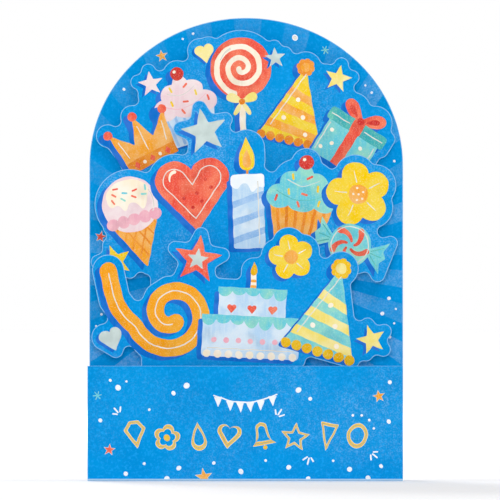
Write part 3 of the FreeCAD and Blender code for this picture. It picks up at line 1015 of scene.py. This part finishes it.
# Outlined stars: ink, x, z, height and tilt.
FRONT_STARS = (("orange", 61.5, 39.0, 5.2, 12.0), ("orange", -19.0, 2.0, 7.6, 8.0),
               ("red", -62.5, 14.5, 5.0, -8.0))
BACK_STARS = (("orange", -39.0, 196.0, 5.2, 10.0), ("red", -67.3, 112.5, 4.8, -10.0))


def bunting(art):
    """A string that sags between its ends, and six pennants on it."""
    string = smooth([(-14.5, 39.5), (-7.0, 37.0), (0.0, 36.3), (7.0, 37.2), (14.5, 40.0)])
    art.add("white", band(string, 0.6))
    for x, z in string[2::4]:
        art.add("white", rounded([(x - 1.9, z), (x + 1.9, z), (x + 0.2, z - 4.8)], 0.3))


def dress_front_panel():
    """Gold ornaments in a row, a small white bunting, and scattered dots, stars and sparks."""
    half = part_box("carrier")[1].x / MM
    fine_edge = 0.1
    halo_wide, halo_tall = 8.2, 9.6       # of the dots about the last ornament
    sheet = rect(-half, half, BEND_TOP, PANEL_TOP)
    art = Print("front_art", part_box("carrier")[0].y, sheet)
    # pale rim along the panel's edges: cut board plus a painted highlight
    art.add("rim", [sheet, inset(sheet, fine_edge)], steady=True)
    scatter(art, FRONT_DOTS, FRONT_STARS, asterisk_at=(-68.0, 39.5), asterisk_size=3.6)
    for x, z, aim in FRONT_SPARKS:
        for stroke in sparks(x, z, aim):
            art.add("white", stroke)
    last_x, last_z = FRONT_ROW[-1][1:3]
    for x, z in arc(last_x, last_z, halo_wide, 20, 104, 3, halo_tall / halo_wide):
        art.add("white", disc(x, z, 0.6, steps=12))
    bunting(art)
    for kind, x, z, height, tilt in FRONT_ROW:
        for ink, outer, inner in ORNAMENT_RINGS:
            art.add(ink, placed(hollow(ORNAMENTS[kind], outer, inner), x, z, height, tilt))
    for x, z, radius in FRONT_DISCS:
        art.add("gold", disc(x, z, radius))
    art.make()


def dress_back_panel():
    """Small stars and dots in the sunburst, and the arch's pale cut edge with its painted highlight."""
    foil_dot = BACK_DOTS[0][:2]
    low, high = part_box("carrier")
    half, top = high.x / MM, high.z / MM
    arch = arc(0.0, top - ARCH_RISE, half, 0, 180, 120, ARCH_RISE / half)
    sheet = [(-half, BEND_TOP), (half, BEND_TOP)] + arch
    art = Print("back_art", high.y - BOARD * MM, sheet)
    # pale rim along the arch and sides: cut board plus a painted highlight
    art.add("rim", [sheet, inset(sheet, CUT_EDGE)], steady=True)
    scatter(art, BACK_DOTS, BACK_STARS, asterisk_at=(36.5, 198.8), asterisk_size=3.4)
    art.add("silver_foil", disc(*foil_dot, 0.85, steps=14))
    art.make()


def dress_card():
    dress("carrier", carrier_material())
    spacer = card_material()
    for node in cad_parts:
        if node.startswith("spacer"):
            dress(node, spacer)
    dress_tier("tier_top", TOP_FIGURES, seed=11.0, sponging=0.65)
    dress_tier("tier_middle", MIDDLE_FIGURES, seed=21.0, sponging=1.1)
    dress_tier("tier_bottom", BOTTOM_FIGURES, seed=31.0, sponging=0.35)
    dress_front_panel()
    dress_back_panel()


# Floor, light and camera.

def area_light(name, place, size, watts):
    """A round lamp aimed at the card's middle."""
    target = Vector((0.0, 0.0, 0.1))
    data = bpy.data.lights.new(name, "AREA")
    data.shape = "DISK"
    data.size = size
    data.energy = watts
    lamp = bpy.data.objects.new(name, data)
    lamp.location = place
    lamp.rotation_euler = (target - lamp.location).to_track_quat("-Z", "Y").to_euler()
    bpy.context.scene.collection.objects.link(lamp)


def make_lights():
    area_light("key", (0.45, -2.6, 1.3), 0.9, 15.2)
    area_light("front", (0.0, -3.2, 0.25), 0.4, 33.2)
    area_light("left", (-2.4, -0.2, 0.9), 1.0, 24.0)
    area_light("right", (2.4, -0.2, 0.9), 1.0, 24.0)
    area_light("rear", (-0.9, 2.6, 1.3), 1.0, 42.0)


def make_floor():
    """Pale floor that keeps the card's shadow nearby and is plain white far away."""
    half = 12.0
    near, far = 0.35, 1.6             # where the floor begins to brighten, and where it is white
    glow_near, glow_far = 0.22, 0.7
    mesh = bpy.data.meshes.new("floor")
    mesh.from_pydata([(x, y, 0.0) for x, y in rect(-half, half, -half, half)], [], [(0, 1, 2, 3)])
    floor = bpy.data.objects.new("floor", mesh)
    bpy.context.scene.collection.objects.link(floor)
    s = Shader("pale_floor")
    s.surface(linear(FLOOR), 0.8, shine=0.1)
    rays = s.node("ShaderNodeLightPath").outputs
    seen = s.math("MAXIMUM", rays["Is Camera Ray"], rays["Is Glossy Ray"])
    reach = s.node("ShaderNodeVectorMath", operation="LENGTH")
    s.put(reach.inputs[0], s.place)
    glow = s.line(s.ramp(reach.outputs["Value"], near, far), glow_far - glow_near, glow_near)
    s.put(s.bsdf.inputs["Emission Color"], WHITE_LIGHT)
    s.put(s.bsdf.inputs["Emission Strength"], s.product(seen, glow))
    mesh.materials.append(s.material)


def make_world():
    """Even pale light, and plain white where the camera or a reflection looks past everything."""
    ambient = 0.31
    world = bpy.data.worlds.new("studio")
    bpy.context.scene.world = world
    world.use_nodes = True
    tree = Nodes(world.node_tree)
    rays = tree.node("ShaderNodeLightPath").outputs
    seen = tree.math("MAXIMUM", rays["Is Camera Ray"], rays["Is Glossy Ray"])
    seen = tree.math("MAXIMUM", seen, rays["Is Transmission Ray"])
    background = tree.nodes["Background"]
    tree.put(background.inputs["Color"], WHITE_LIGHT)
    tree.put(background.inputs["Strength"], tree.line(seen, 1.0 - ambient, ambient))


def make_camera():
    """In front and far away, as for the photograph, and just right of the card's middle."""
    distance = 6.6
    to_the_right = 0.076
    aim = Vector((0.00198, 0.0, 0.1063))
    frame_width = 0.2305              # what the picture shows at the card, across
    sensor = 36.0
    camera = bpy.data.objects.new("camera", bpy.data.cameras.new("camera"))
    camera.data.sensor_width = sensor
    camera.data.lens = sensor * distance / frame_width
    camera.location = aim + Vector((to_the_right, -distance, 0.0))
    camera.rotation_euler = (aim - camera.location).to_track_quat("-Z", "Y").to_euler()
    bpy.context.scene.collection.objects.link(camera)
    bpy.context.scene.camera = camera


dress_card()
make_floor()
make_world()
make_lights()
make_camera()
bpy.context.scene.view_settings.view_transform = "Standard"
